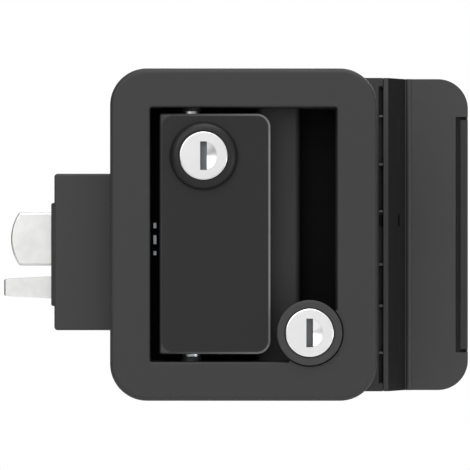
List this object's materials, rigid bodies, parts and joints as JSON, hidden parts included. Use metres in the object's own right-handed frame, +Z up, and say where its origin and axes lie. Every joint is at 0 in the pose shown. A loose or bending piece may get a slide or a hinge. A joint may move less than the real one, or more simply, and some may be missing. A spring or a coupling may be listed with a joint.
{
  "type": "paddle latch",
  "caption": "Flush paddle latch for a caravan entry door: hinged outer pull paddle, spring latch bolt, keyed deadbolt with inside thumb-turn and hinged inside pull handle.",
  "frame": {"origin": "middle of the flange's outline, on the door's outer skin (the rear face of the gasket)", "axes": "+X to the right seen from outdoors (away from the bolts), +Y through the door towards the room, +Z up"},
  "size_m": [0.1652, 0.0651, 0.1142],
  "materials": {
    "housing_powder_coat": "black fine-texture powder coat on die-cast zinc",
    "paddle_powder_coat": "black satin powder coat on die-cast zinc",
    "case_powder_coat": "black powder coat on die-cast zinc",
    "inner_powder_coat": "black powder coat on pressed steel",
    "inner_moulding": "fine-grained black nylon moulding",
    "lock_black_finish": "black finish on die-cast zinc cylinder",
    "nickel_lock_face": "satin nickel plate",
    "cast_bolt_metal": "bright satin plated casting",
    "zinc_plated_steel": "bright zinc plate",
    "spring_wire": "drawn spring wire",
    "spacer_nylon": "black nylon",
    "gasket_foam": "closed-cell foam",
    "grip_rubber": "soft-touch rubber"
  },
  "bodies": {
    "lock_frame": {"outer_housing": "housing_powder_coat", "foam_gasket": "gasket_foam", "paddle_hinge_pins": "zinc_plated_steel", "paddle_hinge_washers": "zinc_plated_steel", "tail_clip": "zinc_plated_steel", "paddle_spring": "spring_wire", "deadbolt_lock_body": "lock_black_finish", "latch_case": "case_powder_coat", "mechanism_plate": "zinc_plated_steel", "case_screws": "zinc_plated_steel", "plate_screws": "zinc_plated_steel", "mounting_screws": "zinc_plated_steel", "bolt_spring": "spring_wire", "inner_base_plate": "inner_powder_coat", "inner_cover": "inner_moulding", "inner_hinge_pin": "zinc_plated_steel", "inner_hinge_spacers": "spacer_nylon"},
    "outer_paddle": {"paddle_shell": "paddle_powder_coat", "paddle_lock_body": "lock_black_finish", "paddle_lock_nut": "zinc_plated_steel", "pull_arm": "zinc_plated_steel", "pull_arm_rivets": "zinc_plated_steel"},
    "paddle_key_plug": {"paddle_lock_plug": "nickel_lock_face", "paddle_lock_cam": "zinc_plated_steel", "paddle_lock_screw": "zinc_plated_steel"},
    "latch_bolt_slide": {"latch_bolt": "cast_bolt_metal", "bolt_cross_pin": "zinc_plated_steel", "latch_slide": "zinc_plated_steel"},
    "deadbolt_bar": {"deadbolt": "cast_bolt_metal"},
    "deadbolt_key_plug": {"deadbolt_lock_plug": "nickel_lock_face", "deadbolt_tailpiece": "zinc_plated_steel"},
    "thumb_turn_shaft": {"deadbolt_crank": "zinc_plated_steel", "turn_spindle": "zinc_plated_steel", "thumb_turn": "inner_moulding"},
    "inner_handle_body": {"inner_handle": "inner_moulding", "handle_grip": "grip_rubber", "handle_lever": "zinc_plated_steel"}
  },
  "joints": [
    {"name": "paddle_pivot", "type": "hinge", "parent": "lock_frame", "child": "outer_paddle", "pos_m": [-0.01805, 0.003, 0], "axis": [0, 0, -1], "range_deg": [0, 35], "stiffness_Nm_per_rad": 0.12, "springref_deg": -34.38, "deforming": ["paddle_spring"]},
    {"name": "paddle_key_turn", "type": "hinge", "parent": "outer_paddle", "child": "paddle_key_plug", "pos_m": [-0.0137, 0, 0.02705], "axis": [0, 1, 0], "range_deg": [0, 90]},
    {"name": "bolt_travel", "type": "slide", "parent": "lock_frame", "child": "latch_bolt_slide", "axis": [1, 0, 0], "range_m": [0, 0.01377], "stiffness_N_per_m": 300, "springref_m": -0.01, "deforming": ["bolt_spring"]},
    {"name": "thumb_turn_rotation", "type": "hinge", "parent": "lock_frame", "child": "thumb_turn_shaft", "pos_m": [0.0227, 0, -0.0337], "axis": [0, 1, 0], "range_deg": [0, 69.04]},
    {"name": "deadbolt_travel", "type": "slide", "parent": "lock_frame", "child": "deadbolt_bar", "axis": [1, 0, 0], "range_m": [0, 0.017]},
    {"name": "deadbolt_key_turn", "type": "hinge", "parent": "lock_frame", "child": "deadbolt_key_plug", "pos_m": [0.0227, 0, -0.0337], "axis": [0, 1, 0], "range_deg": [0, 69.09]},
    {"name": "inner_handle_pivot", "type": "hinge", "parent": "lock_frame", "child": "inner_handle_body", "pos_m": [0.0492, 0.0445, 0], "axis": [0, 0, 1], "range_deg": [0, 35], "stiffness_Nm_per_rad": 0.1, "springref_deg": -28.65}
  ],
  "couplings": [
    {"joint": "paddle_pivot", "follows": "bolt_travel", "rad_per_m": 44.37},
    {"joint": "thumb_turn_rotation", "follows": "deadbolt_travel", "rad_per_m": 70.872},
    {"joint": "deadbolt_key_turn", "follows": "deadbolt_travel", "rad_per_m": 70.872}
  ]
}
